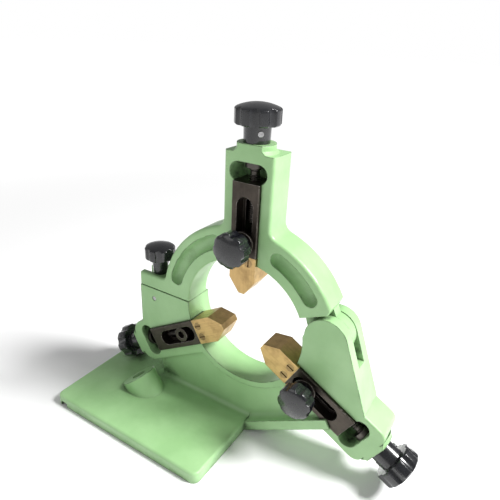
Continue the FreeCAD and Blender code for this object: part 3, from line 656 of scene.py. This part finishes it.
# ---- star knobs --------------------------------------------------------------------------------
@dataclass
class StarKnob:
    """A moulded knob: a hub that carries a domed head with lobes, drawn standing on its hub."""

    name: str
    head_r: float
    head_h: float
    dome: float
    hub_r: float
    hub_top_r: float
    hub_h: float
    lobes: int = 8
    lip: float = 1.2 * MM
    rounding: float = 0.9 * MM
    scallop: float = 0.27
    scallop_out: float = 0.56
    crown_shares: tuple[float, ...] = (0.85, 0.68, 0.50, 0.32, 0.15, 0.04)

    def profile(self) -> list[tuple[float, float]]:
        """Radius and height of each step, from the foot to the crown."""
        top = self.hub_h + self.head_h
        rim = self.head_r - self.lip
        crown = (rim ** 2 + self.dome ** 2) / (2 * self.dome)
        steps = [(self.hub_r, 0.0), (self.hub_top_r, self.hub_h), (rim, self.hub_h),
                 (self.head_r, self.hub_h + self.lip), (self.head_r, top - self.lip), (rim, top)]
        for share in self.crown_shares:
            radius = rim * share
            steps.append((radius, top + self.dome - crown + math.sqrt(crown ** 2 - radius ** 2)))
        return steps

    def build(self) -> bpy.types.Object:
        """Models the knob.

        Returns:
            The knob, standing on the origin.
        """
        knob = turned_piece(self.name, self.profile(), 96)
        scallop_r = self.head_r * self.scallop
        distance = self.head_r + scallop_r * self.scallop_out
        height = self.head_h + self.dome + 4 * MM
        cutters = []
        for i in range(self.lobes):
            turn = 2 * math.pi * (i + 0.5) / self.lobes
            deselect()
            bpy.ops.mesh.primitive_cylinder_add(
                vertices=36, radius=scallop_r, depth=height,
                location=(distance * math.cos(turn), distance * math.sin(turn),
                          self.hub_h - 1 * MM + height / 2))
            cutters.append(start_piece(f"{self.name}_scallop_{i}"))
        cut_away(knob, cutters)
        apply_bevel(knob, self.rounding, 3, 28.0)
        smooth(knob, 40.0)
        return knob


# ---- screws ------------------------------------------------------------------------------------
@dataclass
class ThreadedScrew:
    """A long screw with a helical thread and a plain end, drawn from its tip upwards."""

    name: str
    radius: float
    length: float
    threaded: float
    pitch: float = 2.0 * MM
    depth: float = 0.9 * MM
    chamfer: float = 1.0 * MM

    def build(self) -> bpy.types.Object:
        """Models the screw.

        Returns:
            The screw, with its tip on the origin.
        """
        core = self.radius - self.depth
        shank = turned_piece(f"{self.name}_core", [
            (core - self.chamfer, 0.0), (core, self.chamfer), (core, self.threaded),
            (self.radius, self.threaded + self.depth), (self.radius, self.length)], 48)
        deselect()
        bpy.ops.mesh.primitive_plane_add(size=1.0, location=(0, 0, 0))
        thread = start_piece(f"{self.name}_thread")
        half = self.pitch * 0.42
        bpy.ops.object.mode_set(mode="EDIT")
        bpy.ops.mesh.select_all(action="SELECT")
        bpy.ops.transform.resize(value=(self.depth + 0.2 * MM, 2 * half, 1), center_override=(0, 0, 0))
        bpy.ops.transform.rotate(value=math.pi / 2, orient_axis="X", center_override=(0, 0, 0))
        bpy.ops.transform.translate(value=(self.radius - (self.depth + 0.2 * MM) / 2, 0, self.pitch))
        mesh = bmesh.from_edit_mesh(thread.data)
        bpy.ops.mesh.select_all(action="DESELECT")
        for vertex in mesh.verts:
            vertex.select_set(vertex.co.x > self.radius - 0.5 * self.depth)
        mesh.select_flush(True)
        bmesh.update_edit_mesh(thread.data)
        bpy.ops.transform.resize(value=(1, 1, 0.22), center_override=(self.radius, 0, self.pitch))
        bpy.ops.mesh.select_all(action="SELECT")
        bpy.ops.mesh.delete(type="ONLY_FACE")
        bpy.ops.object.mode_set(mode="OBJECT")
        screw = thread.modifiers.new("helix", "SCREW")
        screw.axis = "Z"
        screw.screw_offset = self.pitch
        screw.iterations = int((self.threaded - 2 * self.pitch) / self.pitch)
        screw.steps = screw.render_steps = 28
        activate(thread)
        bpy.ops.object.modifier_apply(modifier=screw.name)
        bpy.ops.object.mode_set(mode="EDIT")
        bpy.ops.mesh.select_all(action="SELECT")
        bpy.ops.mesh.remove_doubles(threshold=1e-6)
        bpy.ops.mesh.select_mode(type="EDGE")
        bpy.ops.mesh.select_all(action="SELECT")
        bpy.ops.mesh.fill_holes(sides=4)
        bpy.ops.mesh.select_all(action="SELECT")
        bpy.ops.mesh.normals_make_consistent(inside=False)
        bpy.ops.object.mode_set(mode="OBJECT")
        smooth(thread, 30.0)
        smooth(shank, 30.0)
        activate(shank)
        thread.select_set(True)
        bpy.ops.object.join()
        shank.name = self.name
        return shank


# ---- sub-assemblies ------------------------------------------------------------------------------
@dataclass
class Castings:
    """The base and the hinged arch, in enamel."""

    finish: CastEnamel = field(default_factory=CastEnamel)

    def dress(self) -> None:
        """Paints both castings."""
        enamel = self.finish.material("green_enamel")
        for node in ("base_casting", "arch_casting"):
            dress_node(node, enamel)


@dataclass
class ArchLock:
    """The upright eye bolt and the knob that holds the arch shut."""

    head_r: float = 16.0 * MM
    head_h: float = 13.0 * MM
    dome: float = 3.0 * MM
    hub_r: float = 7.6 * MM
    hub_top_r: float = 9.2 * MM
    hub_h: float = 17.0 * MM
    roll: float = 0.2

    def build(self, bakelite: bpy.types.Material, steel: bpy.types.Material,
              brass: bpy.types.Material) -> None:
        """Models the knob and dresses the bolt.

        Args:
            bakelite: the knob's finish.
            steel: the bolt's and its pin's finish.
            brass: the bush's finish.
        """
        low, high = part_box("lock_knob")
        seat = Vector(((low[0] + high[0]) / 2, (low[1] + high[1]) / 2, low[2]))
        knob = StarKnob("lock_star_knob", self.head_r, self.head_h, self.dome, self.hub_r,
                        self.hub_top_r, self.hub_h).build()
        set_in_place(knob, seat, UP, self.roll)
        finish_piece(knob, bakelite, "lock_knob", "black_bakelite", "lock_knob")
        dress_node("lock_knob_bush", brass)
        for node in ("eye_bolt", "eye_bolt_pin", "hinge_pin"):
            dress_node(node, steel)


@dataclass
class Jaw:
    """One jaw with its slide, brass tip, adjusting screw and knob, and clamp."""

    place: JawName
    clamp: ClampForm
    head_r: float = 19.8 * MM
    head_h: float = 14.0 * MM
    dome: float = 4.0 * MM
    hub_r: float = 11.4 * MM
    hub_top_r: float = 11.8 * MM
    hub_h: float = 14.5 * MM
    clamp_head_r: float = 16.0 * MM
    clamp_head_h: float = 13.0 * MM
    clamp_dome: float = 3.0 * MM
    clamp_hub_r: float = 8.5 * MM
    clamp_hub_top_r: float = 9.5 * MM
    clamp_hub_h: float = 9.0 * MM
    screw_r: float = 5.0 * MM
    screw_inner: float = 100.0 * MM
    screw_in_knob: float = 12.0 * MM
    thread_end_gap: float = 24.0 * MM
    turn_gap: float = 0.1 * MM
    clamp_roll: float = 0.15

    @property
    def name(self) -> str:
        """The jaw's name."""
        return self.place.value

    def outward(self) -> Vector:
        """Direction from the work axis to the adjusting knob."""
        return -Vector(joint_of(f"{self.name}_screw")["axis"])

    def grain_angle(self) -> float:
        """Turn about Y that lays the brushed lines along the slide."""
        out = self.outward()
        return math.atan2(out.z, out.x)

    def build_adjuster(self, bakelite: bpy.types.Material, oiled: bpy.types.Material,
                       bright: bpy.types.Material) -> None:
        """Models the knob and the screw, and dresses the pin and the collar.

        Args:
            bakelite: the knob's finish.
            oiled: the screw's and the collar's finish.
            bright: the cross pin's finish.
        """
        body = f"{self.name}_screw"
        out = self.outward()
        seat = Vector(joint_of(body)["pos_m"]) + out * self.turn_gap
        knob = StarKnob(f"{self.name}_star_knob", self.head_r, self.head_h, self.dome, self.hub_r,
                        self.hub_top_r, self.hub_h).build()
        set_in_place(knob, seat, out)
        finish_piece(knob, bakelite, body, "black_bakelite", f"{self.name}_adjusting_knob")
        axis_point = Vector((0.0, 0.0, next(m["pos_m"][2] for m in frame["record"]["mounts"]
                                            if m["name"] == "work_axis")))
        tip = axis_point + out * self.screw_inner
        reach = (seat - tip).length
        screw = ThreadedScrew(f"{self.name}_lead_screw", self.screw_r, reach + self.screw_in_knob,
                              reach - self.thread_end_gap).build()
        set_in_place(screw, tip, out)
        finish_piece(screw, oiled, body, "bright_steel", f"{self.name}_adjusting_screw")
        dress_node(f"{self.name}_screw_collar", oiled)
        dress_node(f"{self.name}_knob_pin", bright)

    def dress_slide(self) -> None:
        """Dresses the slide, the tip and the tip's screws."""
        angle = self.grain_angle()
        dress_node(f"{self.name}_slide", DARK_STEEL.material(f"{self.name}_slide_steel", angle))
        dress_node(f"{self.name}_tip", BRASS.material(f"{self.name}_tip_brass", angle))
        dress_node(f"{self.name}_tip_screws", SCREW_BRASS.material(f"{self.name}_screw_brass", angle + 0.9))

    def build_clamp(self, bakelite: bpy.types.Material, steel: bpy.types.Material,
                    dark: bpy.types.Material) -> None:
        """Models the clamp knob, or dresses the cap screw.

        Args:
            bakelite: the knob's finish.
            steel: the stud's finish.
            dark: the cap screw's and the washer's finish.
        """
        body = f"{self.name}_clamp"
        if self.clamp is ClampForm.CAP_SCREW:
            dress_node(f"{self.name}_clamp_screw", dark)
            return
        low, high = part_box(f"{self.name}_clamp_washer")
        seat = Vector(((low[0] + high[0]) / 2, low[1], (low[2] + high[2]) / 2))
        knob = StarKnob(f"{self.name}_clamp_star_knob", self.clamp_head_r, self.clamp_head_h,
                        self.clamp_dome, self.clamp_hub_r, self.clamp_hub_top_r, self.clamp_hub_h).build()
        set_in_place(knob, seat, Vector((0, -1, 0)), self.clamp_roll)
        finish_piece(knob, bakelite, body, "black_bakelite", f"{self.name}_clamp_knob")
        dress_node(f"{self.name}_clamp_washer", dark)
        dress_node(f"{self.name}_clamp_stud", steel)


# ---- studio --------------------------------------------------------------------------------------
@dataclass(frozen=True)
class StudioCamera:
    """The camera, placed and turned in the object's frame."""

    place: tuple[float, float, float] = (0.20117, -0.33935, 0.37697)
    yaw: float = 30.85
    pitch: float = 24.44
    roll: float = 2.82
    lens: float = 33.97

    def build(self) -> None:
        """Adds the camera and makes it the scene's."""
        yaw, pitch, roll = (math.radians(a) for a in (self.yaw, self.pitch, self.roll))
        ahead = Vector((-math.sin(yaw) * math.cos(pitch), math.cos(yaw) * math.cos(pitch), -math.sin(pitch)))
        right = Vector((math.cos(yaw), math.sin(yaw), 0.0))
        up = right.cross(ahead)
        across = right * math.cos(roll) + up * math.sin(roll)
        above = up * math.cos(roll) - right * math.sin(roll)
        data = bpy.data.cameras.new("studio_camera")
        data.lens = self.lens
        data.sensor_width = 36.0
        data.clip_start = 0.01
        data.clip_end = 20.0
        camera = bpy.data.objects.new("studio_camera", data)
        matrix = Matrix((across, above, -ahead)).transposed().to_4x4()
        camera.matrix_world = Matrix.Translation(Vector(self.place)) @ matrix
        bpy.context.scene.collection.objects.link(camera)
        bpy.context.scene.camera = camera


@dataclass(frozen=True)
class SoftLamp:
    """One large area lamp aimed at the object."""

    name: str
    place: tuple[float, float, float]
    size: float
    watts: float
    tint: tuple[float, float, float] = (1.0, 1.0, 1.0)
    target: tuple[float, float, float] = (0.0, 0.0, 0.12)

    def build(self) -> None:
        """Adds the lamp."""
        data = bpy.data.lights.new(self.name, "AREA")
        data.shape = "DISK"
        data.size = self.size
        data.energy = self.watts
        data.color = self.tint
        lamp = bpy.data.objects.new(self.name, data)
        lamp.location = self.place
        aim = Vector(self.target) - Vector(self.place)
        lamp.rotation_euler = aim.to_track_quat("-Z", "Y").to_euler()
        bpy.context.scene.collection.objects.link(lamp)


@dataclass
class Studio:
    """Pale floor, soft lamps and camera."""

    floor_size: float = 24.0
    floor_tone: tuple = colour(0.93, 0.93, 0.93)
    floor_fade: tuple[float, float] = (0.35, 1.1)
    world_strength: float = 0.34
    lamps: tuple = (
        SoftLamp("key_lamp", (1.15, 0.35, 1.45), 0.55, 58.0),
        SoftLamp("front_lamp", (-0.8, -1.5, 1.0), 1.2, 4.0),
    )

    def build_floor(self) -> None:
        """Adds the floor."""
        deselect()
        bpy.ops.mesh.primitive_plane_add(size=self.floor_size, location=(0, 0, -0.0002))
        floor = start_piece("studio_floor")
        material, graph, shader = new_surface("floor_paper", Roughness=0.7)
        coords = graph.add("ShaderNodeTexCoord").outputs["Object"]
        low = tuple(0.985 * c for c in self.floor_tone[:3]) + (1.0,)
        graph.join(graph.mix(graph.noise(coords, 3.0), low, self.floor_tone), shader.inputs["Base Color"])
        reach = graph.add("ShaderNodeVectorMath", operation="LENGTH")
        graph.join(coords, reach.inputs[0])
        glow = graph.add("ShaderNodeEmission", {"Color": self.floor_tone, "Strength": 1.1})
        blend = graph.add("ShaderNodeMixShader")
        graph.join(graph.span(reach.outputs["Value"], *self.floor_fade), blend.inputs[0])
        graph.join(shader.outputs[0], blend.inputs[1])
        graph.join(glow.outputs[0], blend.inputs[2])
        graph.join(blend.outputs[0], material.node_tree.nodes["Material Output"].inputs["Surface"])
        floor.data.materials.append(material)

    def build_world(self) -> None:
        """Sets the even white surroundings."""
        world = bpy.data.worlds.new("studio_surroundings")
        world.use_nodes = True
        graph = Graph(world.node_tree)
        background = world.node_tree.nodes["Background"]
        background.inputs["Color"].default_value = colour(1.0, 1.0, 1.0)
        seen = graph.add("ShaderNodeLightPath").outputs["Is Camera Ray"]
        graph.join(graph.span(seen, 0.0, 1.0, self.world_strength, 1.0), background.inputs["Strength"])
        bpy.context.scene.world = world

    def build(self) -> None:
        """Builds the whole studio."""
        self.build_floor()
        self.build_world()
        for lamp in self.lamps:
            lamp.build()
        StudioCamera().build()
        bpy.context.scene.view_settings.view_transform = "Standard"


def main() -> None:
    """Builds the object's sub-assemblies in order, then the studio."""
    logging.basicConfig(level=logging.INFO, format="%(message)s")
    bakelite = MouldedBakelite().material("black_bakelite")
    bright = BRIGHT_STEEL.material("bright_steel")
    oiled = OILED_STEEL.material("oiled_steel")
    dark = DARK_STEEL.material("dark_steel")
    brass = BRASS.material("brass_bush")
    Castings().dress()
    ArchLock().build(bakelite, bright, brass)
    for jaw in (Jaw(JawName.TOP, ClampForm.STAR_KNOB), Jaw(JawName.LEFT, ClampForm.CAP_SCREW),
                Jaw(JawName.RIGHT, ClampForm.STAR_KNOB)):
        jaw.build_adjuster(bakelite, oiled, bright)
        jaw.dress_slide()
        jaw.build_clamp(bakelite, bright, dark)
        LOG.info("%s jaw built", jaw.name)
    Studio().build()


if __name__ == "__main__":
    main()
